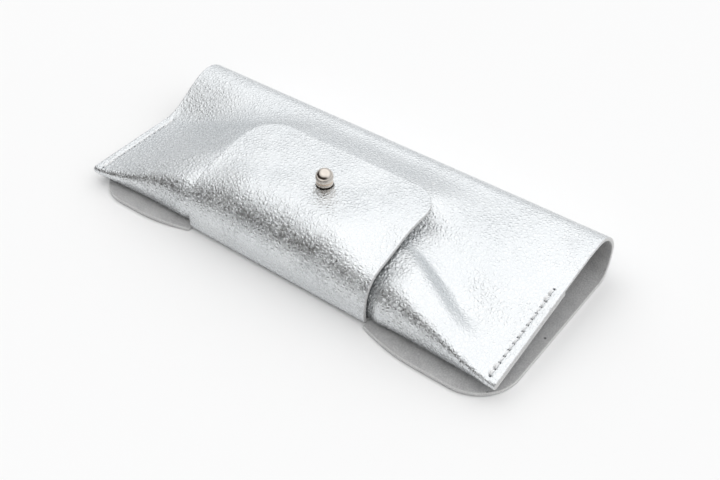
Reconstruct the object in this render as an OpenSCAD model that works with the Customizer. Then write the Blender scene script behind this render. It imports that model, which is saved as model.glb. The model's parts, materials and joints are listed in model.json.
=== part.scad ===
// Slim eyeglasses case: one strip of leather, folded twice and buttoned on a ball stud.
// The cover panel lies flat. At its far edge it turns over the far fold into the front panel,
// which rolls under along the near side into a shallow pocket panel, sewn at both ends.
// A narrower flap on the cover's near edge wraps up over the roll and buttons on the stud.
// X runs along the folds, Y from the flap to the far fold and Z upwards.

/* [Leather] */
// Thickness of the leather
leather = 1.4; // [1.2:0.1:1.5]
// Length of the case along its folds
case_length = 170; // [160:1:185]
// Depth of the case from the cover's near edge to the far fold
case_depth = 74; // [72:1:80]
// Sideways slip between the cover and the front panel, taken up in the far fold
panel_slip = 2; // [0:0.5:3]

/* [Cover] */
// Radius of the cover's two near corners
cover_corner_r = 15; // [10:1:20]
// Height of the far fold, which is a half round
fold_height = 18; // [16:0.5:19]
// Set-back of the cover's near edge beside the flap
shoulder_setback = 4; // [2:0.5:5]
// Length over which that set-back runs out
shoulder_run = 22; // [15:1:30]

/* [Flap] */
// Width of the closure flap
flap_width = 75; // [60:1:80]
// Distance from the cover's near edge to the outer face of the flap's wall
wall_setback = 4.8; // [4.5:0.1:6]
// Height of the flap's outer face above the table
flap_height = 23.7; // [23.4:0.1:24.5]
// Outer radius of the bend where the flap leaves the table
foot_bend_r = 3; // [2.5:0.5:4]
// Reach of the flap's upper bend, a quarter of an ellipse, from the wall
bend_reach = 15.5; // [14.5:0.5:16]
// Rise of that bend above the wall
bend_rise = 17.7; // [17:0.1:18.4]
// Length from the wall's outer face to the end of the flap
flap_reach = 43; // [40:1:48]
// Corner radius at the end of the flap
flap_corner_r = 11; // [6:1:14]

/* [Pocket] */
// Radius of the bend under the near roll
roll_foot_r = 4.1; // [3.6:0.1:4.4]
// Swelling of the roll beside the flap, which holds it back
roll_bulge = 1.4; // [0:0.1:1.5]
// Room between the flap's wall and the roll
roll_room = 0.5; // [0.4:0.1:1]
// Height of the front panel above the table in the middle
front_height = 21.8; // [21.5:0.1:21.9]
// Depth of the pocket from its near edge at the ends
pocket_depth = 39.4; // [36:0.2:44]
// Distance from the cover's near edge to the pocket's near edge at the ends
pinch_setback = 3.7; // [3:0.1:5]
// Height of the pocket's near corner at the left end
left_corner_height = 6.3; // [5.5:0.1:8]
// Height of the pocket's near corner at the right end
right_corner_height = 7.1; // [5.5:0.1:8]
// Room between the two layers of leather where they are sewn
seam_room = 0.2; // [0.1:0.05:0.4]
// Depth of the hollow that runs into each near corner
hollow_depth = 2; // [0:0.25:3]

/* [Seams] */
// Distance of the stitching from the end of the panel
seam_margin = 3; // [2.5:0.25:4]
// Length of one stitch
stitch = 2.5; // [2:0.25:3.5]
// Number of stitches in each seam
stitch_count = 14; // [12:1:15]
// Diameter of the thread
thread_d = 0.6; // [0.5:0.05:0.8]

/* [Stud] */
// Diameter of the ball
ball_d = 6; // [5.5:0.25:6.5]
// Diameter of the neck under the ball
neck_d = 3.6; // [3.2:0.1:3.8]
// Diameter of the stud's flange and of the screw's head
flange_d = 6.6; // [6:0.2:7]
// Diameter of the screw's shank
screw_d = 2.4; // [2:0.1:2.6]
// Place of the stud to the right of the flap's centre line
stud_x = 2.6; // [0:0.2:4]
// Distance of the stud from the end of the flap
stud_inset = 18; // [17:0.5:20]

/* [Hidden] */
$fn = 64;
silver = [0.80, 0.82, 0.84];
thread_grey = [0.70, 0.72, 0.74];
nickel = [0.78, 0.76, 0.72];

// Gap between pieces of different bodies
gap = 0.3;
// Overrun of a cutting shape past the face that it cuts
eps = 0.1;
half_length = case_length / 2;
y_far = case_depth / 2;
y_near = -case_depth / 2;
fold_r = fold_height / 2;
y_fold = y_far - fold_r;
cover_x = panel_slip / 2;
pocket_x = -panel_slip / 2;

// The flap's wall and its two bends. The wall turns on the cover about an axis along X at the
// middle of the foot bend, just outside the leather, and the tip turns on the wall about one
// just outside the middle of the top bend. The pocket turns on the cover about the outermost
// line of the far fold.
flap_x = pocket_x;
y_wall = y_near + wall_setback;
flap_half = flap_width / 2;
y_foot = y_wall + foot_bend_r;
y_top = y_wall + bend_reach;
z_top = flap_height - bend_rise;
y_flap_end = y_wall + flap_reach;
stud_at = [flap_x + stud_x, y_flap_end - stud_inset];

// The roll in the middle of the case: its upper bend follows the flap's, its foot is round
roll_near = y_wall + leather + roll_room;
roll_foot_y = roll_near + roll_foot_r;
roll_bottom = z_top - roll_foot_r;
// The pinched roll at the ends: two layers of leather with the seam's room between them
pinch_r = leather + seam_room / 2;
pinch_y = y_near + pinch_setback + pinch_r;

// The part of the half length over which the pocket stays full: on top, along the roll's upper
// bend and along its foot
full_top = 0.27;
full_bend = 0.46;
full_foot = 0.66;
// The part of the half length at which it is flat
flat_end = 0.965;

// Steps of the pocket's surface: along the case, over the front, round a fold, over the pocket
steps_x = 34;
steps_front = 20;
steps_fold = 5;
steps_roll = 10;
steps_pocket = 8;

function clamp(v) = min(1, max(0, v));
function ease(v) = let (t = clamp(v)) t * t * (3 - 2 * t);
function mix(a, b, t) = a + (b - a) * t;
function unit(v) = v / norm(v);

// ---------------------------------------------------------------- end and middle sections
// Slope of the right end's edge, and the length over which it eases into the far fold
ease_len = 12;
right_span = y_fold - (y_near + pinch_setback) - ease_len / 2;
right_slope = (fold_height - right_corner_height) / right_span;
// The left end's edge stays low to the end of its seam and then climbs to the fold
left_rise = 1.1;
climb_start = 3;
climb_length = y_fold - climb_start;

function right_drop(v) = v < ease_len ? right_slope * v * v / (2 * ease_len)
                                      : right_slope * (v - ease_len / 2);
function right_z(y) = fold_height - right_drop(y_fold - y);
function left_low(y) = left_corner_height + left_rise * clamp((y - pinch_y) / (climb_start - pinch_y));
function left_z(y) = mix(left_low(y), fold_height, ease((y - climb_start) / climb_length));
function end_z(side, y) = side > 0 ? right_z(y) : left_z(y);
function end_tilt(side) = side > 0 ? atan(right_slope) : 0;
function middle_z(y) = fold_height + (front_height - fold_height) * ease((y_fold - y) / 20);

// A section is followed by s: 0 to 1 up the far fold, 1 to 2 over the front panel,
// 2 to 3 round the near roll and 3 to 4 along the pocket panel. Each gives [y, z].
function fold_point(t) = [y_fold + fold_r * cos(90 * t), fold_r + fold_r * sin(90 * t)];
function arc_point(c, r, a) = [c[0] + r * cos(a), c[1] + r * sin(a)];

pocket_y_mid = y_near + pinch_setback + pocket_depth - 2.6;
// Share of the roll's s that its upper bend takes
bend_share = 0.8;
// Length beside the flap over which the roll swells
bulge_run = 4.5;
function bulge(x) = roll_bulge * ease((abs(x + pocket_x - flap_x) - flap_half - 0.4) / bulge_run);
function ellipse_point(c, a, b, angle) = [c[0] + a * cos(angle), c[1] + b * sin(angle)];
function middle_point(x, s) =
    let (near = roll_near - bulge(x))
    s < 1 ? fold_point(s) :
    s < 2 ? let (y = mix(y_fold, y_top, s - 1)) [y, middle_z(y)] :
    s < 2 + bend_share ? ellipse_point([y_top, z_top], y_top - near, front_height - z_top,
                                       90 * (1 + (s - 2) / bend_share)) :
    s < 3 ? ellipse_point([roll_foot_y, z_top], roll_foot_y - near, roll_foot_r,
                          90 * (2 + (s - 2 - bend_share) / (1 - bend_share))) :
    [mix(roll_foot_y, pocket_y_mid, s - 3), roll_bottom];

// The flap's sides sag between its top and its wall, and the pocket gives way under them
droop_left = 2.5;
droop_right = 3.7;
droop_from = 25;
droop_y = -20.5;
droop_width = 9;
droop_run = 12;
// The pocket gives way this much further than the flap sags
droop_give = 1.15;
function droop(x, y) =
    let (side = ease((abs(x - flap_x) - droop_from) / (flap_half - droop_from)),
         d = (y - droop_y) / droop_width)
    (x > flap_x ? droop_right : droop_left) * side * exp(-d * d);
function beside_flap(x) = ease((abs(x + pocket_x - flap_x) - flap_half) / droop_run);
function pocket_droop(x, y) = droop_give * droop(x + pocket_x, y) * (1 - 0.75 * beside_flap(x));
function sagging_point(x, s) =
    let (m = middle_point(x, s)) [m[0], m[1] - (s < 3 ? pocket_droop(x, m[0]) : 0)];

function pinch_centre(side) = [pinch_y, end_z(side, pinch_y - pinch_r * sin(end_tilt(side)))
                                        - pinch_r * cos(end_tilt(side))];
function end_point(side, s) =
    let (tilt = end_tilt(side), y_start = pinch_y - pinch_r * sin(tilt),
         y_back = pinch_y + pinch_r * sin(tilt))
    s < 1 ? fold_point(s) :
    s < 2 ? let (y = mix(y_fold, y_start, s - 1)) [y, end_z(side, y)] :
    s < 3 ? arc_point(pinch_centre(side), pinch_r, 90 + tilt + 180 * (s - 2)) :
    let (y = mix(y_back, y_near + pinch_setback + pocket_depth, s - 3),
         shift = 2 * pinch_r * sin(tilt), down = 2 * pinch_r * cos(tilt))
    [y, end_z(side, y - shift) - down];

// How full the pocket is at x: 1 in the middle and 0 at the sewn ends
function fullness(x, from) =
    let (t = clamp((abs(x) / half_length - from) / (flat_end - from))) 1 - (t + ease(t)) / 2;
function full_from(s) = full_top + (full_bend - full_top) * ease(s - 1)
                        + (full_foot - full_bend) * ease(s - 2);
function full_at(x, s) = fullness(x, full_from(s));

// The hollow runs from beside the flap into the near corner
hollow_from = [flap_half - 2, 0];
hollow_to = [half_length - 9, pinch_y + 5];
hollow_width = 8;
function along_hollow(x, y) = (([abs(x), y] - hollow_from) * (hollow_to - hollow_from))
                              / pow(norm(hollow_to - hollow_from), 2);
function hollow_z(x, y) =
    let (t = along_hollow(x, y), c = clamp(t), foot = hollow_from + c * (hollow_to - hollow_from),
         d = norm([abs(x), y] - foot) / hollow_width)
    -hollow_depth * (x > 0 ? 1 : 0.5) * exp(-d * d) * ease(2.2 * (1.05 - t)) * ease(3 * (t + 0.3));

// A point of the pocket's outer surface, and the outward normal there
function pocket_point(x, s) =
    let (b = full_at(x, s), side = x > 0 ? 1 : -1, m = sagging_point(x, s), e = end_point(side, s),
         p = e + (m - e) * b, dip = s > 1 && s < 2 ? hollow_z(x, p[1]) * ease(5 * (2 - s)) : 0)
    [x + pocket_x * ease(s), p[0], p[1] + dip];
step = 0.02;
function pocket_normal(x, s) =
    unit(cross(pocket_point(x, s + step) - pocket_point(x, s - step),
               pocket_point(x + step, s) - pocket_point(x - step, s)));
function pocket_inner(x, s) = pocket_point(x, s) - leather * pocket_normal(x, s);

// A closed sheet between two grids of points, outer and inner, of nu by nv cells
module sheet(outer, inner, nu, nv) {
    w = nv + 1;
    all_points = concat(outer, inner);
    h = len(outer);
    top = [for (i = [0:nu - 1], j = [0:nv - 1]) let (a = i * w + j)
           each [[a, a + w + 1, a + 1], [a, a + w, a + w + 1]]];
    bottom = [for (i = [0:nu - 1], j = [0:nv - 1]) let (a = h + i * w + j)
              each [[a, a + 1, a + w + 1], [a, a + w + 1, a + w]]];
    ends_u = [for (j = [0:nv - 1], i = [0, nu]) let (a = i * w + j)
              each i == 0 ? [[a, a + h + 1, a + h], [a, a + 1, a + h + 1]]
                          : [[a, a + h, a + h + 1], [a, a + h + 1, a + 1]]];
    ends_v = [for (i = [0:nu - 1], j = [0, nv]) let (a = i * w + j)
              each j == 0 ? [[a, a + h, a + h + w], [a, a + h + w, a + w]]
                          : [[a, a + h + w, a + h], [a, a + w, a + h + w]]];
    polyhedron(points = all_points, faces = concat(top, bottom, ends_u, ends_v), convexity = 6);
}

function x_steps() = [for (i = [0:steps_x]) mix(-half_length, half_length, i / steps_x)];

// The stretch of the pocket's strip between two values of s
module pocket_sheet(s_from, s_to, steps) {
    us = [for (x = x_steps(), j = [0:steps]) [x, mix(s_from, s_to, j / steps)]];
    sheet([for (u = us) pocket_point(u[0], u[1])], [for (u = us) pocket_inner(u[0], u[1])],
          steps_x, steps);
}

// ---------------------------------------------------------------- cover
function shoulder_y(d) = y_near + shoulder_setback * pow(1 - clamp(d / shoulder_run), 2);

// Outline of the cover from the far fold round its near corners to the flap's shoulders
module cover_outline() {
    right = cover_x + half_length;
    left = cover_x - half_length;
    yc = y_near + cover_corner_r;
    lip_left = flap_x - flap_half - gap;
    lip_right = flap_x + flap_half + gap;
    polygon(concat(
        [[left, y_fold]],
        [for (a = [180:7.5:262.5]) arc_point([left + cover_corner_r, yc], cover_corner_r, a)],
        [for (t = [0:0.1:1]) let (x = mix(left + cover_corner_r, lip_left, t))
            [x, shoulder_y(lip_left - x)]],
        [[lip_left, y_foot], [lip_right, y_foot]],
        [for (t = [0:0.1:1]) let (x = mix(lip_right, right - cover_corner_r, t))
            [x, shoulder_y(x - lip_right)]],
        [for (a = [277.5:7.5:360]) arc_point([right - cover_corner_r, yc], cover_corner_r, a)],
        [[right, y_fold]]));
}

// A bend of the flap between two angles, as a ring sector swept along X
module bend(c, r, a_from, a_to) {
    n = 6;
    ring = concat([for (i = [0:n]) arc_point(c, r, mix(a_from, a_to, i / n))],
                  [for (i = [n:-1:0]) arc_point(c, r - leather, mix(a_from, a_to, i / n))]);
    translate([flap_x - flap_half, 0, 0]) rotate([90, 0, 90])
        linear_extrude(flap_width) polygon(ring);
}

// Half of the gap between two bodies, as an angle in the foot bend
foot_cut = atan(gap / 2 / foot_bend_r);

// The flap's upper bend, where q runs from 0 at the wall to 1 at the top and then over the top
bend_split = 0.515;
bend_cut = 0.006;
flap_steps = 12;
function bend_yz(q) = q < 1 ? ellipse_point([y_top, z_top], bend_reach, bend_rise, 180 - 90 * q)
                            : [y_top + (q - 1) * bend_reach, flap_height];
function flap_point(x, q) =
    let (p = bend_yz(q)) [x, p[0], p[1] - droop(x, p[0]) * ease(10 * q)];
function flap_normal(x, q) =
    unit(cross(flap_point(x + step, q) - flap_point(x - step, q),
               flap_point(x, q + step) - flap_point(x, max(0, q - step))));
function flap_inner(x, q) = flap_point(x, q) - leather * flap_normal(x, q);

// The flap between the values of q in a list
module flap_sheet(qs) {
    us = [for (i = [0:flap_steps], q = qs) [flap_x + flap_half * (2 * i / flap_steps - 1), q]];
    sheet([for (u = us) flap_inner(u[0], u[1])], [for (u = us) flap_point(u[0], u[1])],
          flap_steps, len(qs) - 1);
}

module cover_panel() {
    color(silver) {
        linear_extrude(leather) cover_outline();
        bend([y_foot, foot_bend_r], foot_bend_r, 225 + foot_cut, 270);
    }
}

// Lower quarter of the far fold: it carries the slip between the panels
function cover_fold_point(x, t) = [x + cover_x * (1 - ease(t)), y_fold + fold_r * sin(90 * t),
                                   fold_r - fold_r * cos(90 * t)];
function cover_fold_inner(x, t) =
    let (p = cover_fold_point(x, t)) [p[0], p[1] - leather * sin(90 * t), p[2] + leather * cos(90 * t)];
fold_cut = gap / fold_r / PI * 2;
module far_fold() {
    n = 8;
    us = [for (x = [-half_length, half_length], j = [0:n]) [x, (1 - fold_cut) * j / n]];
    color(silver)
        sheet([for (u = us) cover_fold_point(u[0], u[1])],
              [for (u = us) cover_fold_inner(u[0], u[1])], 1, n);
}

// ---------------------------------------------------------------- flap
module flap_wall() {
    color(silver) {
        bend([y_foot, foot_bend_r], foot_bend_r, 180, 225 - foot_cut);
        translate([flap_x - flap_half, y_wall, foot_bend_r])
            cube([flap_width, leather, z_top - foot_bend_r]);
        flap_sheet([for (t = [0:0.2:1]) t * (bend_split - bend_cut)]);
    }
}

// The ball passes through a clearance slot, which the lips fill; the hole in them fits the neck
slot_r = ball_d / 2 + 0.4;
slot_far = 7.2;
hole_r = neck_d / 2 + 0.15;
slit_length = 6;
slit_width = 0.5;
module clearance_slot(room) {
    circle(r = slot_r - room);
    translate([0, slot_far]) circle(r = slot_r - room);
    translate([-slot_r + room, 0]) square([2 * (slot_r - room), slot_far]);
}
module stud_slit() {
    translate([-slit_width / 2, -slit_length]) square([slit_width, slit_length]);
}
module flap_outline() {
    x_left = flap_x - flap_half;
    straight = y_flap_end - flap_corner_r - y_wall;
    translate([x_left, y_wall]) square([flap_width, straight]);
    translate([x_left + flap_corner_r, y_wall])
        square([flap_width - 2 * flap_corner_r, straight + flap_corner_r]);
    for (x = [x_left + flap_corner_r, x_left + flap_width - flap_corner_r])
        translate([x, y_wall + straight]) circle(r = flap_corner_r);
}
tip_start = bend_split + bend_cut;
tip_end = 1 + (y_flap_end - y_top) / bend_reach;
tip_steps = concat([for (t = [0:0.2:1]) mix(tip_start, 1, t)], [1.2, 1.4, 1.6, 1.8], [tip_end]);
module flap_tip() {
    color(silver) intersection() {
        flap_sheet(tip_steps);
        linear_extrude(flap_height + 1) difference() {
            flap_outline();
            translate(stud_at) {
                clearance_slot(0);
                stud_slit();
            }
        }
    }
}
module stud_hole_lips() {
    color(silver) translate([stud_at[0], stud_at[1], flap_height - leather])
        linear_extrude(leather) difference() {
            clearance_slot(0.05);
            circle(r = hole_r);
            stud_slit();
        }
}

// ---------------------------------------------------------------- pocket
// The stud's flange is pressed into the front panel by this much
flange_sink = 0.55;
flange_t = 0.75;
module front_panel() {
    color(silver) difference() {
        pocket_sheet(fold_cut / 2, 2, steps_front + steps_fold);
        translate([stud_at[0], stud_at[1], 0]) {
            cylinder(d = screw_d + 0.6, h = front_height + 1);
            translate([0, 0, front_height - flange_sink]) cylinder(d = flange_d + eps, h = 1);
        }
    }
}
module near_roll() {
    color(silver) pocket_sheet(2, 3, steps_roll);
}
module pocket_panel() {
    color(silver) pocket_sheet(3, 4, steps_pocket);
}

// A thread runs over each stitch and dips into the leather at each needle hole
thread_sides = 6;
seam_start = 2.2;
// The value of s on the front panel and on the pocket panel at a distance from the near edge
function front_s(side, d) = let (y0 = pinch_y - pinch_r * sin(end_tilt(side)))
    1 + (y_fold - (y_near + pinch_setback + d)) / (y_fold - y0);
function pocket_s(side, d) = let (y0 = pinch_y + pinch_r * sin(end_tilt(side)))
    3 + (y_near + pinch_setback + d - y0) / (y_near + pinch_setback + pocket_depth - y0);
function seam_point(side, s, lift) =
    let (x = side * (half_length - seam_margin)) pocket_point(x, s) + lift * pocket_normal(x, s);
dip = leather - thread_d / 2 - 0.03;
function thread_lift(k) = k == 0 ? -dip : thread_d * 0.3;
function thread_path(side, face) =
    [for (i = [0:stitch_count], k = [0:i < stitch_count ? 3 : 0])
     let (d = seam_start + stitch * (i + [0, 0.16, 0.5, 0.84][k]))
     seam_point(side, face > 0 ? front_s(side, d) : pocket_s(side, d), thread_lift(k))];
// A tube swept along a path that lies in a plane across X
module tube(path, d) {
    n = len(path);
    rings = [for (i = [0:n - 1])
             let (t = unit(path[min(i + 1, n - 1)] - path[max(i - 1, 0)]), u = [1, 0, 0], v = cross(t, u))
             each [for (j = [0:thread_sides - 1]) let (a = 360 * j / thread_sides)
                   path[i] + d / 2 * (u * cos(a) + v * sin(a))]];
    sides = [for (i = [0:n - 2], j = [0:thread_sides - 1])
             let (a = i * thread_sides + j, b = i * thread_sides + (j + 1) % thread_sides)
             each [[a, b + thread_sides, b], [a, a + thread_sides, b + thread_sides]]];
    caps = [[for (j = [0:thread_sides - 1]) j],
            [for (j = [thread_sides - 1:-1:0]) (n - 1) * thread_sides + j]];
    polyhedron(points = rings, faces = concat(sides, caps), convexity = 4);
}
module seam_thread(side) {
    color(thread_grey) for (face = [1, -1]) tube(thread_path(side, face), thread_d);
}
module seam_thread_left() {
    seam_thread(-1);
}
module seam_thread_right() {
    seam_thread(1);
}

// ---------------------------------------------------------------- stud
ball_r = ball_d / 2;
flange_z = front_height - flange_sink;
neck_z = flange_z + flange_t;
collar_z = flap_height + 0.35;
collar_r = 2.5;
collar_t = 0.45;
groove_r = 2.2;
groove_t = 0.2;
ball_z = collar_z + collar_t + groove_t + 1.95;
bore_depth = 3.4;
screw_room = 0.05;
module ball_stud() {
    color(nickel) translate([stud_at[0], stud_at[1], 0]) difference() {
        union() {
            translate([0, 0, flange_z]) cylinder(d = flange_d, h = flange_t);
            translate([0, 0, neck_z - eps]) cylinder(d = neck_d, h = collar_z - neck_z + 2 * eps);
            translate([0, 0, collar_z]) cylinder(r = collar_r, h = collar_t);
            translate([0, 0, collar_z + eps]) cylinder(r = groove_r, h = collar_t + groove_t);
            intersection() {
                translate([0, 0, ball_z]) sphere(r = ball_r);
                translate([0, 0, collar_z + collar_t + groove_t]) cylinder(r = ball_d, h = ball_d);
            }
        }
        translate([0, 0, flange_z - eps]) cylinder(d = screw_d + 2 * screw_room, h = bore_depth + eps);
    }
}
head_t = 1.1;
head_slot_w = 0.8;
head_slot_t = 0.5;
screw_tip_room = 0.2;
module stud_screw() {
    head_z = front_height - leather - head_t;
    color(nickel) translate([stud_at[0], stud_at[1], 0]) difference() {
        union() {
            translate([0, 0, head_z]) cylinder(d = flange_d, h = head_t);
            translate([0, 0, head_z + eps])
                cylinder(d = screw_d, h = flange_z + bore_depth - screw_tip_room - head_z);
        }
        translate([-flange_d, -head_slot_w / 2, head_z - eps])
            cube([2 * flange_d, head_slot_w, head_slot_t + eps]);
    }
}

cover_panel();
far_fold();
flap_wall();
flap_tip();
stud_hole_lips();
front_panel();
near_roll();
pocket_panel();
seam_thread_left();
seam_thread_right();
ball_stud();
stud_screw();
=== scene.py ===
"""Looks of the slim leather eyeglasses case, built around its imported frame.

One strip of foiled leather lies flat as the cover, turns over the far fold, runs forward as the
front panel, rolls under into the pocket panel and is sewn to itself at both ends. The flap leaves
the cover's near edge, climbs the wall, bends over the roll and buttons on a ball stud.
Shapes are worked out in millimetres, in the frame's own axes, and written to Blender in metres.
"""
import json
import math
from collections import namedtuple

import bmesh
import bpy
import numpy as np
from mathutils import Matrix, Vector
from mathutils.geometry import delaunay_2d_cdt


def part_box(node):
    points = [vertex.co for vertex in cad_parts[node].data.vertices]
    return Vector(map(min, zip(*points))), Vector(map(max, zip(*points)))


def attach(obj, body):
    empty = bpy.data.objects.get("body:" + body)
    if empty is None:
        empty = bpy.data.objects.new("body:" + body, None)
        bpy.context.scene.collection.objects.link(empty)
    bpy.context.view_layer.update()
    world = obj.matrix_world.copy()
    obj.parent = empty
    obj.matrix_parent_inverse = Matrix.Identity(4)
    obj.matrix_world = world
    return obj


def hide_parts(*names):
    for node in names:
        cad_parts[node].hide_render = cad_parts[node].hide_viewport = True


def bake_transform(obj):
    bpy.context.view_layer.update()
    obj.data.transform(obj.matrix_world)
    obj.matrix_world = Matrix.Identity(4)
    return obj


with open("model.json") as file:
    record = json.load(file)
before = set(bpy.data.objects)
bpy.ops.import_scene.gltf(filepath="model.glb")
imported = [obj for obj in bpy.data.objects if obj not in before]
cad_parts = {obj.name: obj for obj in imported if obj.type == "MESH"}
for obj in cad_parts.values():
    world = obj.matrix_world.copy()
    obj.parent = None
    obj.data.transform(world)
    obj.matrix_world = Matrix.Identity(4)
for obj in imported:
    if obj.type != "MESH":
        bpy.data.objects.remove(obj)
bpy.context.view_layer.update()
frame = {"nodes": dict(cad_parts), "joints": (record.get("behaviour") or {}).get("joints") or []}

MM = 0.001


# ------------------------------------------------------------------ sizes from the frame
def box_mm(node):
    """Lowest and highest corner of a CAD node, in millimetres."""
    low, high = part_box(node)
    return np.array(low) / MM, np.array(high) / MM


def joint_mm(name):
    """Place of a joint, in millimetres."""
    joint = next(j for j in frame["joints"] if j["name"] == name)
    return np.array(joint["pos_m"]) / MM


cover_low, cover_high = box_mm("cover_panel")
roll_low, roll_high = box_mm("near_roll")
tip_low, tip_high = box_mm("flap_tip")
wall_low = box_mm("flap_wall")[0]
lips_low, lips_high = box_mm("stud_hole_lips")
stud_low, stud_high = box_mm("ball_stud")
fold_axis = joint_mm("pocket_open")

LEATHER = lips_high[2] - lips_low[2]
HALF_LENGTH = (roll_high[0] - roll_low[0]) / 2
POCKET_X = (roll_high[0] + roll_low[0]) / 2
COVER_X = (cover_high[0] + cover_low[0]) / 2
Y_NEAR = cover_low[1]
Y_FAR = fold_axis[1]
FOLD_R = fold_axis[2]
FOLD_HEIGHT = 2 * FOLD_R
Y_FOLD = Y_FAR - FOLD_R
FLAP_X = (tip_low[0] + tip_high[0]) / 2
FLAP_HALF = (tip_high[0] - tip_low[0]) / 2
FLAP_HEIGHT = tip_high[2]
Y_FLAP_END = tip_high[1]
Y_WALL = wall_low[1]
STUD_X = (stud_low[0] + stud_high[0]) / 2
STUD_Y = (stud_low[1] + stud_high[1]) / 2

# Radii and heights of the leather strip's shape, which the frame's boxes don't give
COVER_CORNER_R = 15.0
SHOULDER_SETBACK = 4.0
SHOULDER_RUN = 22.0
FOOT_BEND_R = 3.0
FLAP_BEND_Y = 15.5
FLAP_BEND_Z = 17.7
FLAP_CORNER_R = 11.0
ROLL_ROOM = 0.5
ROLL_FOOT_R = 4.1
ROLL_BULGE = 1.45
FRONT_HEIGHT = 21.8
POCKET_DEPTH = 39.4
PINCH_SETBACK = 3.7
LEFT_CORNER_HEIGHT = 6.3
RIGHT_CORNER_HEIGHT = 7.1
SEAM_ROOM = 0.2
FLAP_ROOM = 0.3

# Seams
SEAM_MARGIN = 3.0
SEAM_START = 2.2
STITCH = 2.5
STITCH_COUNT = 14
THREAD_D = 0.55

# Round of a cut edge
ROUND = 0.22

Y_FOOT = Y_WALL + FOOT_BEND_R
Y_TOP = Y_WALL + FLAP_BEND_Y
Z_TOP = FLAP_HEIGHT - FLAP_BEND_Z
ROLL_NEAR = Y_WALL + LEATHER + ROLL_ROOM
ROLL_BOTTOM = Z_TOP - ROLL_FOOT_R
PINCH_R = LEATHER + SEAM_ROOM / 2
PINCH_NEAR = Y_NEAR + PINCH_SETBACK
PINCH_Y = PINCH_NEAR + PINCH_R


# ------------------------------------------------------------------ small mathematics
def clamp(v):
    return np.clip(v, 0.0, 1.0)


def ease(v):
    t = clamp(v)
    return t * t * (3 - 2 * t)


def mix(a, b, t):
    return a + (b - a) * t


def stack(*parts):
    """Coordinates side by side, as an array of points."""
    return np.stack(np.broadcast_arrays(*parts), axis=-1)


def unit(v):
    return v / np.linalg.norm(v, axis=-1, keepdims=True)


def value_noise(u, v, cell, seed):
    """Smooth noise from -1 to 1 over a lattice of the given cell."""
    size = 64
    lattice = np.random.default_rng(seed).uniform(-1, 1, (size, size))
    a, b = np.asarray(u) / cell, np.asarray(v) / cell
    i, j = np.floor(a).astype(int), np.floor(b).astype(int)
    p, q = ease(a - i), ease(b - j)

    def corner(di, dj):
        return lattice[(i + di) % size, (j + dj) % size]

    near = mix(corner(0, 0), corner(1, 0), p)
    far = mix(corner(0, 1), corner(1, 1), p)
    return mix(near, far, q)


# ------------------------------------------------------------------ the strip's section
# s runs along the strip: -1 to 0 up the lower quarter of the far fold, 0 to 1 up its upper
# quarter, 1 to 2 over the front panel, 2 to 3 round the near roll and 3 to 4 under it.
EASE_LENGTH = 12.0
RIGHT_SPAN = Y_FOLD - PINCH_NEAR - EASE_LENGTH / 2
RIGHT_SLOPE = (FOLD_HEIGHT - RIGHT_CORNER_HEIGHT) / RIGHT_SPAN
LEFT_RISE = 1.1
CLIMB_START = 3.0
CROWN_RUN = 20.0
# Share of the half length over which the pocket stays full, and where it is flat
FULL_TOP = 0.27
FULL_BEND = 0.46
FULL_FOOT = 0.66
FLAT_END = 0.965
# Share of the near roll's s that its upper bend takes
ROLL_SHARE = 0.8
BULGE_START = 0.4
BULGE_RUN = 4.5
# Sag of the flap's sides, and of the pocket under and beside them
DROOP_LEFT = 2.5
DROOP_RIGHT = 3.7
DROOP_FROM = 18.0
DROOP_Y = -20.5
DROOP_WIDTH = 9.0
DROOP_GIVE = 1.15
DROOP_FADE = 0.75
DROOP_RUN = 12
HEM_SETBACK = 2.6
POCKET_Y_MID = PINCH_NEAR + POCKET_DEPTH - HEM_SETBACK
# The hollow beside the flap, and how much of its depth the left side has
HOLLOW_FROM = np.array([FLAP_HALF - 2, 0.0])
HOLLOW_TO = np.array([HALF_LENGTH - 9, PINCH_Y + 5])
HOLLOW_WIDTH = 10.5
HOLLOW_DEPTH = 4.4
HOLLOW_LEFT = 0.2


def right_z(y):
    v = Y_FOLD - y
    eased = RIGHT_SLOPE * v * v / (2 * EASE_LENGTH)
    return FOLD_HEIGHT - np.where(v < EASE_LENGTH, eased, RIGHT_SLOPE * (v - EASE_LENGTH / 2))


def left_z(y):
    low = LEFT_CORNER_HEIGHT + LEFT_RISE * clamp((y - PINCH_Y) / (CLIMB_START - PINCH_Y))
    return mix(low, FOLD_HEIGHT, ease((y - CLIMB_START) / (Y_FOLD - CLIMB_START)))


def end_z(right, y):
    return np.where(right, right_z(y), left_z(y))


def end_tilt(right):
    return np.where(right, math.atan(RIGHT_SLOPE), 0.0)


def middle_z(y):
    return FOLD_HEIGHT + (FRONT_HEIGHT - FOLD_HEIGHT) * ease((Y_FOLD - y) / CROWN_RUN)


def arc(y, z, r, angle):
    return stack(y + r * np.cos(angle), z + r * np.sin(angle))


def by_stretch(s, *stretches):
    """The value of the stretch that s lies in, of those before 1, 2, 3 and after 3."""
    fold, front, roll, pocket = stretches
    s = s[..., None]
    return np.where(s < 1, fold, np.where(s < 2, front, np.where(s < 3, roll, pocket)))


def fold_section(s):
    return arc(Y_FOLD, FOLD_R, FOLD_R, np.pi / 2 * np.minimum(s, 1))


def flap_droop(x, y):
    """How far the flap's sides sag between its top and its wall."""
    side = ease((np.abs(x - FLAP_X) - DROOP_FROM) / (FLAP_HALF - DROOP_FROM))
    depth = np.where(x > FLAP_X, DROOP_RIGHT, DROOP_LEFT)
    return depth * side * np.exp(-(((y - DROOP_Y) / DROOP_WIDTH) ** 2))


def roll_bulge(x):
    """The roll swells beside the flap, which holds it back."""
    beside = np.abs(x + POCKET_X - FLAP_X) - FLAP_HALF - BULGE_START
    return ROLL_BULGE * ease(beside / BULGE_RUN)


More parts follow.
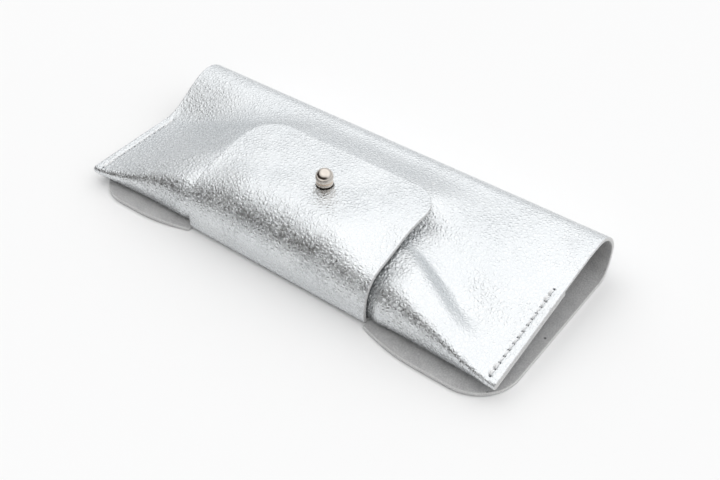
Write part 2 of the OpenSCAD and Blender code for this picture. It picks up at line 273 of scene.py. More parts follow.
def middle_section(x, s):
    """y and z of the strip in the middle of the case, where the flap lies over it."""
    near = ROLL_NEAR - roll_bulge(x)
    y_front = mix(Y_FOLD, Y_TOP, clamp(s - 1))
    bend = np.pi / 2 * (1 + clamp((s - 2) / ROLL_SHARE))
    foot = np.pi * (1 + clamp((s - 2 - ROLL_SHARE) / (1 - ROLL_SHARE)) / 2)
    foot_y = ROLL_NEAR + ROLL_FOOT_R
    on_bend = stack(Y_TOP + (Y_TOP - near) * np.cos(bend),
                    Z_TOP + (FRONT_HEIGHT - Z_TOP) * np.sin(bend))
    on_foot = stack(foot_y + (foot_y - near) * np.cos(foot), Z_TOP + ROLL_FOOT_R * np.sin(foot))
    roll = np.where((s < 2 + ROLL_SHARE)[..., None], on_bend, on_foot)
    pocket = stack(mix(foot_y, POCKET_Y_MID, s - 3), ROLL_BOTTOM)
    section = by_stretch(s, fold_section(s), stack(y_front, middle_z(y_front)), roll, pocket)
    beside = 1 - DROOP_FADE * ease((x + POCKET_X - FLAP_X - FLAP_HALF) / DROOP_RUN)
    droop = DROOP_GIVE * flap_droop(x + POCKET_X, section[..., 0]) * beside * (s < 3)
    return section - stack(0.0, droop)


def end_section(right, s):
    """y and z of the strip at an end, where its two layers are sewn flat."""
    tilt = end_tilt(right)
    y_start = PINCH_Y - PINCH_R * np.sin(tilt)
    y_back = PINCH_Y + PINCH_R * np.sin(tilt)
    y_front = mix(Y_FOLD, y_start, clamp(s - 1))
    z_pinch = end_z(right, y_start) - PINCH_R * np.cos(tilt)
    roll = arc(PINCH_Y, z_pinch, PINCH_R, np.pi / 2 + tilt + np.pi * clamp(s - 2))
    y_pocket = mix(y_back, PINCH_NEAR + POCKET_DEPTH, s - 3)
    shift, down = 2 * PINCH_R * np.sin(tilt), 2 * PINCH_R * np.cos(tilt)
    pocket = stack(y_pocket, end_z(right, y_pocket - shift) - down)
    return by_stretch(s, fold_section(s), stack(y_front, end_z(right, y_front)), roll, pocket)


def fullness(x, start):
    t = clamp((np.abs(x) / HALF_LENGTH - start) / (FLAT_END - start))
    return 1 - (t + ease(t)) / 2


def hollow_z(x, y):
    """Depth of the hollow that runs from beside the flap into each near corner."""
    reach = HOLLOW_TO - HOLLOW_FROM
    place = stack(np.abs(x), y)
    t = ((place - HOLLOW_FROM) @ reach) / (reach @ reach)
    foot = HOLLOW_FROM + clamp(t)[..., None] * reach
    d = np.linalg.norm(place - foot, axis=-1) / HOLLOW_WIDTH
    depth = HOLLOW_DEPTH * np.where(x > 0, 1.0, HOLLOW_LEFT)
    return -depth * np.exp(-d * d) * ease(2.2 * (1.05 - t)) * ease(3 * (t + 0.3))


def strip_point(x, s):
    """A point on the strip's outer surface, x along the case before the panels' slip."""
    start = FULL_TOP + (FULL_BEND - FULL_TOP) * ease(s - 1)
    start = start + (FULL_FOOT - FULL_BEND) * ease(s - 2)
    p = mix(end_section(x > 0, s), middle_section(x, s), fullness(x, start)[..., None])
    dip = np.where((s > 1) & (s < 2), hollow_z(x, p[..., 0]) * ease(5 * (2 - s)), 0.0)
    slip = np.where(s < 0, COVER_X * (1 - ease(s + 1)), POCKET_X * ease(s))
    return stack(x + slip, p[..., 0], p[..., 1] + dip)


def strip_normal(x, s):
    step = 0.01
    along_s = strip_point(x, s + step) - strip_point(x, s - step)
    along_x = strip_point(x + step, s) - strip_point(x - step, s)
    return unit(np.cross(along_s, along_x))


# ------------------------------------------------------------------ seams
def seam_depth(x, s):
    """Distance along the seam from the near edge, on the front and on the pocket panel."""
    tilt = end_tilt(x > 0)
    front_span = Y_FOLD - (PINCH_Y - PINCH_R * np.sin(tilt))
    pocket_start = PINCH_Y + PINCH_R * np.sin(tilt)
    pocket_span = PINCH_NEAR + POCKET_DEPTH - pocket_start
    front = Y_FOLD - (s - 1) * front_span - PINCH_NEAR
    pocket = pocket_start + (s - 3) * pocket_span - PINCH_NEAR
    return np.where(s < 2, front, np.where(s > 3, pocket, 0.0))


def seam_s(right, on_front, depth):
    """The value of s at a distance along a seam."""
    tilt = float(end_tilt(right))
    if on_front:
        front_span = Y_FOLD - (PINCH_Y - PINCH_R * math.sin(tilt))
        return 1 + (Y_FOLD - PINCH_NEAR - depth) / front_span
    pocket_start = PINCH_Y + PINCH_R * math.sin(tilt)
    return 3 + (PINCH_NEAR + depth - pocket_start) / (PINCH_NEAR + POCKET_DEPTH - pocket_start)


def needle_dents(x, s):
    """Dents at the needle holes and the shallow channel that the tight thread pulls."""
    across = np.abs(x) - (HALF_LENGTH - SEAM_MARGIN)
    depth = seam_depth(x, s) - SEAM_START
    k = np.clip(np.round(depth / STITCH), 0, STITCH_COUNT)
    hole = np.exp(-(across**2 + (depth - k * STITCH) ** 2) / 0.42**2)
    inside = ease((depth + 1) / 1) * ease((STITCH_COUNT * STITCH + 1 - depth) / 1)
    return -0.55 * hole - 0.05 * np.exp(-((across / 0.9) ** 2)) * inside


# ------------------------------------------------------------------ relief of the leather
def soft_waves(u, v):
    """The slight unevenness of a sheet of leather that was cut and handled."""
    return 0.05 * value_noise(u, v, 19, 3) + 0.015 * value_noise(u, v, 8, 4)


def strip_creases(x, y):
    """Fine creases where the leather is pulled into the two near corners."""
    reach = HOLLOW_TO - HOLLOW_FROM
    along_way = reach / np.linalg.norm(reach)
    place = stack(np.abs(x), y) - HOLLOW_FROM
    along = place @ along_way
    across = place @ np.array([-along_way[1], along_way[0]])
    zone = np.exp(-((across / 9) ** 2)) * ease((along + 2) / 10) * ease((46 - along) / 12)
    bent = across + 2.5 * value_noise(along, across, 9, 7)
    ridge = 1 - np.abs(value_noise(bent, along, 2.6, 8))
    return -0.16 * zone * ridge**4 * np.where(x > 0, 1.0, 0.55)


def strip_relief(x, s):
    p = strip_point(x, s)
    under_flap = ease((FLAP_HALF + 4 - np.abs(p[..., 0] - FLAP_X)) / 4) * ease((14 - p[..., 1]) / 3)
    on_front = ease((s - 0.6) / 0.4) * ease((2.3 - s) / 0.3)
    waves = soft_waves(x, 40 * s) * ease((s + 1) / 0.5)
    creases = strip_creases(x, p[..., 1]) * on_front
    return (waves + creases) * (1 - 0.8 * under_flap) + needle_dents(x, s)


# ------------------------------------------------------------------ meshes of leather
Patch = namedtuple("Patch", "points faces loops uv")
Loop = namedtuple("Loop", "index outward outward_uv")

# Share of the thickness and share of ROUND at each step over a cut edge
EDGE_STEPS = [(0.05, 0.70), (0.17, 1.0), (0.5, 1.06), (0.83, 1.0), (0.95, 0.70)]


def grid_patch(xs, vs, uv, rounded_x, rounded_v, v_scale):
    """A patch over the grid of xs and vs. Its sides across x and v are cut edges or plain joints."""
    nu, nv = len(xs), len(vs)
    points = stack(np.repeat(xs, nv), np.tile(vs, nu))
    index = np.arange(nu * nv).reshape(nu, nv)
    corners = [index[:-1, :-1], index[1:, :-1], index[1:, 1:], index[:-1, 1:]]
    faces = np.stack(corners, axis=-1).reshape(-1, 4).tolist()
    edge = np.concatenate([index[:, 0], index[-1, 1:], index[-2::-1, -1], index[0, -2:0:-1]])
    i, j = edge // nv, edge % nv
    side_x = np.where(i == 0, -1.0, np.where(i == nu - 1, 1.0, 0.0)) * rounded_x
    side_v = np.where(j == 0, -rounded_v[0], np.where(j == nv - 1, rounded_v[1], 0.0))
    scale = np.where(j == 0, v_scale[0], v_scale[1])
    loop = Loop(edge, stack(side_x, side_v * scale), stack(side_x, side_v))
    return Patch(points, faces, [loop], uv.reshape(-1, 2))


def outward_of(loop_points):
    """Unit directions away from the leather, which lies to the left of the loop."""
    ahead = unit(np.roll(loop_points, -1, axis=0) - loop_points)
    behind = np.roll(ahead, 1, axis=0)
    way = unit(ahead + behind)
    return stack(way[:, 1], -way[:, 0])


def inside(loop_points, points):
    """Which points lie inside a closed loop."""
    a, b = loop_points, np.roll(loop_points, -1, axis=0)
    x, y = points[:, :1], points[:, 1:]
    crosses = (a[:, 1] > y) != (b[:, 1] > y)
    rise = np.where(b[:, 1] == a[:, 1], 1e-9, b[:, 1] - a[:, 1])
    return ((x < (b[:, 0] - a[:, 0]) * (y - a[:, 1]) / rise + a[:, 0]) & crosses).sum(1) % 2 == 1


def distance_to(loop_points, points):
    """Distance from each point to a closed loop."""
    a, b = loop_points, np.roll(loop_points, -1, axis=0)
    ab = b - a
    ap = points[:, None, :] - a
    t = clamp((ap * ab).sum(-1) / (ab * ab).sum(-1))
    return np.linalg.norm(ap - t[..., None] * ab, axis=-1).min(1)


def outline_patch(outline, holes, butt, spacing):
    """A patch inside an outline and outside its holes. butt says which points are joints."""
    loops, support = [], []
    for k, loop_points in enumerate([outline, *holes]):
        rounded = 1.0 - butt(loop_points) if k == 0 else np.ones(len(loop_points))
        outward = outward_of(loop_points) * rounded[:, None]
        inset = loop_points - outward * ROUND
        loops.append((inset, outward))
        support.append((inset - outward * 0.35)[rounded > 0])
    low, high = outline.min(0), outline.max(0)
    counts = np.ceil((high - low) / spacing).astype(int)
    ways = [np.linspace(low[k], high[k], counts[k] + 1) for k in (0, 1)]
    field = stack(*np.meshgrid(*ways, indexing="ij")).reshape(-1, 2)
    keep = inside(loops[0][0], field)
    for k, (inset, outward) in enumerate(loops):
        keep &= distance_to(inset, field) > 0.75 * spacing
        if k > 0:
            keep &= ~inside(inset, field)
    free = np.concatenate([field[keep], *support])
    free = free[inside(loops[0][0], free)]
    points, edges = [], []
    for inset, _ in loops:
        base, n = len(points), len(inset)
        points += [Vector(p) for p in inset]
        edges += [(base + i, base + (i + 1) % n) for i in range(n)]
    points += [Vector(p) for p in free]
    made, _, triangles, origins, _, _ = delaunay_2d_cdt(points, edges, [], 0, 1e-6)
    made = np.array([tuple(p) for p in made])
    new_index = {old: new for new, olds in enumerate(origins) for old in olds}
    triangles = np.array(triangles)
    centres = made[triangles].mean(1)
    keep = inside(loops[0][0], centres)
    for inset, _ in loops[1:]:
        keep &= ~inside(inset, centres)
    found, base = [], 0
    for inset, outward in loops:
        index = np.array([new_index[base + i] for i in range(len(inset))])
        found.append(Loop(index, outward, outward))
        base += len(inset)
    return Patch(made, triangles[keep].tolist(), found, made)


def far_from_seams(points):
    return np.full((len(points), 2), -9.0)


def leather_object(name, patch, solid, materials, seam=far_from_seams):
    """Closes a patch into leather: solid(points, depth) gives its points below the outer face.
    seam(points) gives the distance across the nearest seam and the stitches along it."""
    count = len(patch.points)
    vertices = [solid(patch.points, 0.0), solid(patch.points, LEATHER)]
    uvs = [patch.uv, patch.uv]
    seams = [seam(patch.points), seam(patch.points)]
    faces = [list(f) for f in patch.faces] + [[v + count for v in f[::-1]] for f in patch.faces]
    kinds = [0] * len(patch.faces) + [1] * len(patch.faces)
    base = 2 * count
    for loop in patch.loops:
        n = len(loop.index)
        rings = [loop.index.tolist()]
        for share, out in EDGE_STEPS:
            at = patch.points[loop.index] + loop.outward * out * ROUND
            vertices.append(solid(at, share * LEATHER))
            uvs.append(patch.uv[loop.index] + loop.outward_uv * (0.2 + share * LEATHER))
            seams.append(far_from_seams(at))
            rings.append(list(range(base, base + n)))
            base += n
        rings.append((loop.index + count).tolist())
        for k, (upper, lower) in enumerate(zip(rings, rings[1:])):
            for i in range(n):
                j = (i + 1) % n
                faces.append([upper[j], upper[i], lower[i], lower[j]])
                kinds.append(0 if k == 0 else 2)
    obj = mesh_object(name, np.concatenate(vertices), faces, materials, kinds)
    add_uv(obj, "leather_mm", np.concatenate(uvs))
    add_uv(obj, "seam_stitches", np.concatenate(seams))
    return obj


def mesh_object(name, vertices, faces, materials, kinds=None):
    """A smooth-shaded object from points in millimetres. kinds are material indexes."""
    mesh = bpy.data.meshes.new(name)
    mesh.from_pydata((np.asarray(vertices) * MM).tolist(), [], faces)
    for material in materials:
        mesh.materials.append(material)
    if kinds is not None:
        mesh.polygons.foreach_set("material_index", np.array(kinds, np.int32))
    work = bmesh.new()
    work.from_mesh(mesh)
    bmesh.ops.recalc_face_normals(work, faces=work.faces)
    work.to_mesh(mesh)
    work.free()
    mesh.shade_smooth()
    mesh.set_sharp_from_angle(angle=math.radians(58))
    obj = bpy.data.objects.new(name, mesh)
    bpy.context.scene.collection.objects.link(obj)
    return obj


def add_uv(obj, name, uv):
    """Stores one coordinate pair per vertex as a UV map."""
    mesh = obj.data
    layer = mesh.uv_layers.new(name=name)
    corner = np.zeros(len(mesh.loops), np.int32)
    mesh.loops.foreach_get("vertex_index", corner)
    layer.data.foreach_set("uv", uv[corner].astype(np.float32).ravel())


# ------------------------------------------------------------------ the four leather pieces
def strip_columns():
    """Lines across the case: close together along the seams and the cut ends."""
    end = HALF_LENGTH - ROUND
    seam = HALF_LENGTH - SEAM_MARGIN
    right = np.concatenate([
        np.arange(0, seam - 2.2, 1.1),
        np.linspace(seam - 1.6, seam + 1.6, 9),
        [end - 0.75, end - 0.3, end]])
    return np.concatenate([-right[:0:-1], right])


def strip_rows():
    """Lines along the case, from the cover's far edge to the pocket panel's hem."""
    seam_rows = seam_s(False, True, SEAM_START + STITCH * STITCH_COUNT + 1)
    hem = 4 - ROUND / POCKET_DEPTH
    return np.concatenate([
        np.linspace(-1, 1, 31),
        np.linspace(1, seam_rows, 26)[1:],
        np.linspace(seam_rows, 2, 80)[1:],
        np.linspace(2, 3, 29)[1:],
        np.linspace(3, hem - 0.02, 72)[1:],
        [hem - 0.008, hem]])


def strip_solid(points, depth):
    x, s = points[:, 0], points[:, 1]
    height = strip_relief(x, s) - depth
    return strip_point(x, s) + strip_normal(x, s) * height[:, None]


def strip_seam(points):
    x, s = points[:, 0], points[:, 1]
    across = np.abs(x) - (HALF_LENGTH - SEAM_MARGIN)
    return stack(across, (seam_depth(x, s) - SEAM_START) / STITCH)


def strip_leather(materials):
    """Far fold, front panel, near roll and pocket panel, in one piece as the real strip is."""
    xs, ss = strip_columns(), strip_rows()
    x_grid, s_grid = np.meshgrid(xs, ss, indexing="ij")
    outer = strip_point(x_grid, s_grid)
    steps = np.linalg.norm(np.diff(outer, axis=1), axis=-1)
    arc_length = np.concatenate([np.zeros((len(xs), 1)), np.cumsum(steps, axis=1)], axis=1)
    uv = stack(x_grid, Y_FOLD + arc_length)
    patch = grid_patch(xs, ss, uv, 1.0, (0.0, 1.0), (0.0, 1 / POCKET_DEPTH))
    return leather_object("pocket_leather", patch, strip_solid, materials, strip_seam)


def cover_outline():
    """The cover from the far fold round its near corners, with a notch for the flap's foot."""
    left, right = COVER_X - HALF_LENGTH, COVER_X + HALF_LENGTH
    lip_left, lip_right = FLAP_X - FLAP_HALF - FLAP_ROOM, FLAP_X + FLAP_HALF + FLAP_ROOM
    corner_y = Y_NEAR + COVER_CORNER_R

    def corner(x, start):
        turn = np.radians(np.linspace(start, start + 90, 19))
        return stack(x + COVER_CORNER_R * np.cos(turn), corner_y + COVER_CORNER_R * np.sin(turn))

    def shoulder(x_from, x_to, lip):
        x = np.linspace(x_from, x_to, 24)
        run = clamp(np.abs(x - lip) / SHOULDER_RUN)
        return stack(x, Y_NEAR + SHOULDER_SETBACK * (1 - run) ** 2)

    def straight(x, y_from, y_to):
        return stack(x, np.linspace(y_from, y_to, int(abs(y_to - y_from) / 2) + 2))

    foot = stack(np.linspace(lip_left, lip_right, 40), Y_FOOT)
    far = stack(np.linspace(right, left, 90), Y_FOLD)
    return np.concatenate([
        straight(left, Y_FOLD, corner_y)[1:-1],
        corner(left + COVER_CORNER_R, 180),
        shoulder(left + COVER_CORNER_R, lip_left, lip_left)[1:],
        foot,
        shoulder(lip_right, right - COVER_CORNER_R, lip_right),
        corner(right - COVER_CORNER_R, 270)[1:],
        straight(right, corner_y, Y_FOLD)[1:-1],
        far])


def cover_solid(points, depth):
    """The cover lies on the table with its foil down, and its lips curl up very slightly."""
    x, y = points[:, 0], points[:, 1]
    lip = ease((Y_NEAR + 9 - y) / 9)
    beside_flap = ease((np.abs(x - FLAP_X) - FLAP_HALF) / 12)
    curl = 0.5 * lip * beside_flap * (1 + 0.3 * value_noise(x, y, 13, 11))
    fuzz = 0.06 * (1 + value_noise(x, y, 3.1, 12)) * (depth > LEATHER / 2)
    return stack(x, y, curl + depth - fuzz)


def cover_leather(materials):
    def is_joint(p):
        far = p[:, 1] > Y_FOLD - 1e-6
        foot = (np.abs(p[:, 1] - Y_FOOT) < 1e-6) & (np.abs(p[:, 0] - FLAP_X) < FLAP_HALF + 1)
        return (far | foot).astype(float)

    patch = outline_patch(cover_outline(), [], is_joint, 2.0)
    return leather_object("cover_leather", patch, cover_solid, materials)


# The flap is followed by t, the distance along its outer face from the cover's near edge,
# and by the angle round its upper bend, a quarter of an ellipse.
FOOT_ARC = np.pi / 2 * FOOT_BEND_R
WALL_LENGTH = Z_TOP - FOOT_BEND_R
BEND_ANGLES = np.linspace(0, np.pi / 2, 400)
BEND_STEPS = np.hypot(FLAP_BEND_Y * np.sin(BEND_ANGLES), FLAP_BEND_Z * np.cos(BEND_ANGLES))
BEND_LENGTHS = np.cumsum(BEND_STEPS) * (BEND_ANGLES[1] - BEND_ANGLES[0])
T_TOP = FOOT_ARC + WALL_LENGTH + BEND_LENGTHS[-1]
T_END = T_TOP + Y_FLAP_END - Y_TOP
SPLIT_ABOVE_WALL = 2.5
T_SPLIT = FOOT_ARC + WALL_LENGTH + SPLIT_ABOVE_WALL


def flap_point(x, t):
    """A point on the flap's outer surface."""
    foot = 1.5 * np.pi - t / FOOT_BEND_R
    turned = np.interp(t - FOOT_ARC - WALL_LENGTH, BEND_LENGTHS, BEND_ANGLES)
    on_foot = arc(Y_FOOT, FOOT_BEND_R, FOOT_BEND_R, foot)
    on_wall = stack(Y_WALL, FOOT_BEND_R + t - FOOT_ARC)
    on_bend = stack(Y_TOP - FLAP_BEND_Y * np.cos(turned), Z_TOP + FLAP_BEND_Z * np.sin(turned))
    on_top = stack(Y_TOP + t - T_TOP, FLAP_HEIGHT)
    conditions = [t < FOOT_ARC, t < FOOT_ARC + WALL_LENGTH, t < T_TOP]
    place = np.select([c[..., None] for c in conditions], [on_foot, on_wall, on_bend], on_top)
    sag = flap_droop(x, place[..., 0]) * ease((t - FOOT_ARC - WALL_LENGTH) / 2.8)
    return stack(x, place[..., 0], place[..., 1] - sag)


def flap_normal(x, t):
    step = 0.01
    along_t = flap_point(x, t + step) - flap_point(x, t - step)
    along_x = flap_point(x + step, t) - flap_point(x - step, t)
    return unit(np.cross(along_x, along_t))


def flap_solid(points, depth):
    x, t = points[:, 0], points[:, 1]
    from_stud = np.hypot(x - STUD_X, t - stud_t())
    dimple = -0.10 * np.exp(-((from_stud / 3.4) ** 2))
    waves = 0.8 * soft_waves(x + 50, t) * ease((t - FOOT_ARC) / 6)
    height = waves + dimple - depth
    return flap_point(x, t) + flap_normal(x, t) * height[:, None]


def stud_t():
    return T_TOP + STUD_Y - Y_TOP


def flap_foot_leather(materials):
    xs = np.linspace(-FLAP_HALF + ROUND, FLAP_HALF - ROUND, 70) + FLAP_X
    xs = np.sort(np.concatenate([xs, [xs[0] + 0.3, xs[-1] - 0.3]]))
    ts = np.linspace(0, T_SPLIT, 22)
    uv = stack(*np.meshgrid(xs, Y_FOOT - ts, indexing="ij"))
    patch = grid_patch(xs, ts, uv, 1.0, (0.0, 0.0), (1.0, 1.0))
    return leather_object("flap_foot_leather", patch, flap_solid, materials)


def flap_outline():
    left, right = FLAP_X - FLAP_HALF, FLAP_X + FLAP_HALF
    corner_t = T_END - FLAP_CORNER_R
    turn = np.radians(np.linspace(0, 90, 21))
    rounding = FLAP_CORNER_R * stack(np.cos(turn), np.sin(turn))
    side = np.linspace(T_SPLIT, corner_t, 44)
    return np.concatenate([
        stack(np.linspace(left, right, 70)[1:-1], T_SPLIT),
        stack(right, side)[:-1],
        np.array([right - FLAP_CORNER_R, corner_t]) + rounding,
        stack(np.linspace(right - FLAP_CORNER_R, left + FLAP_CORNER_R, 50)[1:-1], T_END),
        np.array([left + FLAP_CORNER_R, corner_t]) + rounding[::-1] * np.array([-1, 1]),
        stack(left, side[::-1])[1:]])


HOLE_R = 2.9
SLIT_LENGTH = 6.0
SLIT_HALF_WIDTH = 0.06


def stud_hole():
    """The buttonhole: a round hole with a slit towards the near side."""
    opening = math.asin(SLIT_HALF_WIDTH / HOLE_R)
    turn = np.linspace(-np.pi / 2 - opening, -2.5 * np.pi + opening, 41)
    ring = HOLE_R * stack(np.cos(turn), np.sin(turn))
    down = -np.linspace(HOLE_R + 0.6, SLIT_LENGTH - 0.2, 6)
    slit = np.concatenate([
        stack(SLIT_HALF_WIDTH, down),
        np.array([[0.0, -SLIT_LENGTH]]),
        stack(-SLIT_HALF_WIDTH, down[::-1])])
    return np.concatenate([ring, slit]) + np.array([STUD_X, stud_t()])


def flap_leather(materials):
    def is_joint(p):
        return (p[:, 1] < T_SPLIT + 1e-6).astype(float)

    patch = outline_patch(flap_outline(), [stud_hole()], is_joint, 1.0)
    patch = patch._replace(uv=stack(patch.uv[:, 0], Y_FOOT - patch.uv[:, 1]))
    return leather_object("flap_leather", patch, flap_solid, materials)


# ------------------------------------------------------------------ thread
def seam_place(right, on_front, depth, aside=0.0):
    """A place on a seam: its point on the leather, the normal there and the way along it."""
    side = 1.0 if right else -1.0
    x = np.array([side * (HALF_LENGTH - SEAM_MARGIN + aside)])
    s = np.array([seam_s(right, on_front, depth)])
    step = 0.01
    normal = strip_normal(x, s)[0]
    point = strip_point(x, s)[0] + normal * strip_relief(x, s)[0]
    way = unit(strip_point(x, s + step)[0] - strip_point(x, s - step)[0])
    return point, normal, way


def tube(centres, radii, aside, sides):
    """A closed tube through points, with radii and a sideways direction at each."""
    ways = unit(np.gradient(centres, axis=0))
    across = unit(aside - (aside * ways).sum(1, keepdims=True) * ways)
    third = np.cross(ways, across)
    turn = np.linspace(0, 2 * np.pi, sides, endpoint=False)
    rings = centres[:, None, :] + radii[:, :, None] * (
        across[:, None, :] * np.cos(turn)[:, None] + third[:, None, :] * np.sin(turn)[:, None])
    n = len(centres)
    faces = [[i * sides + j, i * sides + (j + 1) % sides,
              (i + 1) * sides + (j + 1) % sides, (i + 1) * sides + j]
             for i in range(n - 1) for j in range(sides)]
    faces.append(list(range(sides))[::-1])
    faces.append(list(range((n - 1) * sides, n * sides)))
    return rings.reshape(-1, 3), faces


def one_stitch(right, on_front, start, aside, rng):
    """Two twisted plies of thread from one needle hole to the next."""
    steps, sides = 15, 10
    share = np.linspace(0, 1, steps)
    slant = rng.uniform(0.10, 0.24)
    centres, asides = [], []
    for t in share:
        point, normal, way = seam_place(right, on_front, start + STITCH * t,
                                        aside + slant * (t - 0.5))
        lift = mix(-0.42, 0.20, math.sin(math.pi * t) ** 0.55)
        centres.append(point + normal * lift)
        asides.append(np.cross(way, normal))
    turn = np.linspace(0, 2 * np.pi, sides, endpoint=False)
    twist = 1 + 0.10 * np.cos(2 * turn[None, :] + 2 * np.pi * 1.6 * share[:, None])
    taper = 0.72 + 0.28 * np.sin(np.pi * share) ** 0.5
    radii = THREAD_D / 2 * twist * taper[:, None]
    return tube(np.array(centres), radii, np.array(asides), sides)


def seam_thread(name, right, material):
    """The stitches of one seam on both faces, with backstitches at its two ends."""
    rng = np.random.default_rng(21 if right else 22)
    runs = [(SEAM_START + STITCH * k, 0.0) for k in range(STITCH_COUNT)]
    runs += [(SEAM_START + STITCH * k, -0.5) for k in (0, 1, STITCH_COUNT - 2, STITCH_COUNT - 1)]
    vertices, faces = [], []
    for on_front in (True, False):
        for start, aside in runs:
            points, quads = one_stitch(right, on_front, start, aside, rng)
            base = sum(len(v) for v in vertices)
            vertices.append(points)
            faces += [[v + base for v in f] for f in quads]
    return mesh_object(name, np.concatenate(vertices), faces, [material])


# ------------------------------------------------------------------ stud
def arc_points(r_centre, z_centre, r, start, end, count):
    turn = np.radians(np.linspace(start, end, count))
    return [(r_centre + r * math.cos(a), z_centre + r * math.sin(a)) for a in turn]


def stud_profile():
    """Radius and height of the turned stud, from the rim of its flange to the top of the ball."""
    ball_r = 3.0
    ball_z = stud_high[2] - ball_r
    collar_low = FLAP_HEIGHT + 0.45
    collar_high = collar_low + 0.8
    flange_low, flange_high, flange_r = stud_low[2], stud_low[2] + 0.75, 3.3
    bore_r, neck_r, collar_r, groove_r, edge = 1.2, 1.8, 2.88, 2.58, 0.15
    seat = math.degrees(math.asin((collar_high + 0.2 - ball_z) / ball_r))
    points = [(bore_r, flange_low)]
    points += arc_points(flange_r - edge, flange_low + edge, edge, -90, 0, 4)
    points += arc_points(flange_r - edge, flange_high - edge, edge, 0, 90, 4)
    points += arc_points(neck_r + edge, flange_high + edge, edge, 270, 180, 4)
    points += [(neck_r, collar_low)]
    points += arc_points(collar_r - edge, collar_low + edge, edge, -90, 0, 5)
    points += arc_points(collar_r - edge, collar_high - edge, edge, 0, 90, 5)
    points += [(groove_r, collar_high), (groove_r, collar_high + 0.14)]
    points += arc_points(0, ball_z, ball_r, seat, 90, 40)[:-1]
    return points, (0.0, ball_z + ball_r)


def turned_object(name, profile, tip, material):
    """A solid of revolution about the stud's axis."""
    sides = 96
    turn = np.linspace(0, 2 * np.pi, sides, endpoint=False)
    rings = [stack(r * np.cos(turn), r * np.sin(turn), z) for r, z in profile]
    n = len(rings)
    vertices = np.concatenate([*rings, [[tip[0], 0, tip[1]], [0, 0, profile[0][1]]]])
    faces = [[i * sides + j, i * sides + (j + 1) % sides,
              (i + 1) * sides + (j + 1) % sides, (i + 1) * sides + j]
             for i in range(n - 1) for j in range(sides)]
    faces += [[(n - 1) * sides + j, (n - 1) * sides + (j + 1) % sides, n * sides]
              for j in range(sides)]
    faces += [[(j + 1) % sides, j, n * sides + 1] for j in range(sides)]
    return mesh_object(name, vertices + np.array([STUD_X, STUD_Y, 0]), faces, [material])


# ------------------------------------------------------------------ materials
class Nodes:
    """Short forms for building a material's nodes."""

    def __init__(self, name):
        self.material = bpy.data.materials.new(name)
        self.material.use_nodes = True
        self.tree = self.material.node_tree
        self.shader = self.tree.nodes["Principled BSDF"]

    def add(self, kind, inputs=(), **settings):
        node = self.tree.nodes.new(kind)
        for key, value in settings.items():
            setattr(node, key, value)
        for key, value in dict(inputs).items():
            self.put(node.inputs[key], value)
        return node

    def put(self, socket, value):
        if isinstance(value, bpy.types.NodeSocket):
            self.tree.links.new(value, socket)
        else:
            socket.default_value = value

    def math(self, operation, a, b=0.0, c=0.0):
        inputs = {0: a, 1: b, 2: c}
        return self.add("ShaderNodeMath", inputs, operation=operation).outputs[0]

    def remap(self, value, low, high, to_low=0.0, to_high=1.0):
        inputs = {"Value": value, "From Min": low, "From Max": high,
                  "To Min": to_low, "To Max": to_high}
        return self.add("ShaderNodeMapRange", inputs, interpolation_type="SMOOTHSTEP").outputs[0]

    def noise(self, vector, scale, detail=2.0, roughness=0.5, distortion=0.0):
        inputs = {"Vector": vector, "Scale": scale, "Detail": detail,
                  "Roughness": roughness, "Distortion": distortion}
        return self.add("ShaderNodeTexNoise", inputs).outputs["Fac"]

    def cells(self, vector, scale, feature):
        inputs = {"Vector": vector, "Scale": scale, "Randomness": 1.0}
        return self.add("ShaderNodeTexVoronoi", inputs, feature=feature).outputs["Distance"]

    def blend(self, factor, a, b):
        node = self.add("ShaderNodeMix", data_type="RGBA")
        self.put(node.inputs["Factor"], factor)
        self.put(node.inputs["A"], a)
        self.put(node.inputs["B"], b)
        return node.outputs["Result"]

    def stretch(self, vector, scale):
        node = self.add("ShaderNodeMapping", {"Vector": vector})
        node.inputs["Scale"].default_value = scale
        return node.outputs[0]

    def bump(self, height, distance):
        inputs = {"Height": height, "Distance": distance, "Strength": 1.0}
        return self.add("ShaderNodeBump", inputs).outputs[0]

    def uv(self, name):
        return self.add("ShaderNodeUVMap", uv_map=name).outputs[0]

    def set(self, **values):
        for key, value in values.items():
            self.put(self.shader.inputs[key.replace("_", " ")], value)


def colour(r, g, b):
    return (r, g, b, 1.0)


def needle_hole_shade(n):
    """1 at each needle hole of a seam and 0 elsewhere: the mask for the painted shade in the holes.
    """
    place = n.add("ShaderNodeSeparateXYZ", {0: n.uv("seam_stitches")})
    across, along = place.outputs["X"], place.outputs["Y"]
    to_hole = n.math("MULTIPLY", n.math("SUBTRACT", along, n.math("ROUND", along)), STITCH)
    square = n.math("MULTIPLY_ADD", to_hole, to_hole, n.math("MULTIPLY", across, across))
    near = n.remap(n.math("SQRT", square), 0.30, 0.52, 1.0, 0.0)
    middle = STITCH_COUNT / 2
    off_middle = n.math("ABSOLUTE", n.math("SUBTRACT", along, middle))
    return n.math("MULTIPLY", near, n.math("LESS_THAN", off_middle, middle + 0.4))


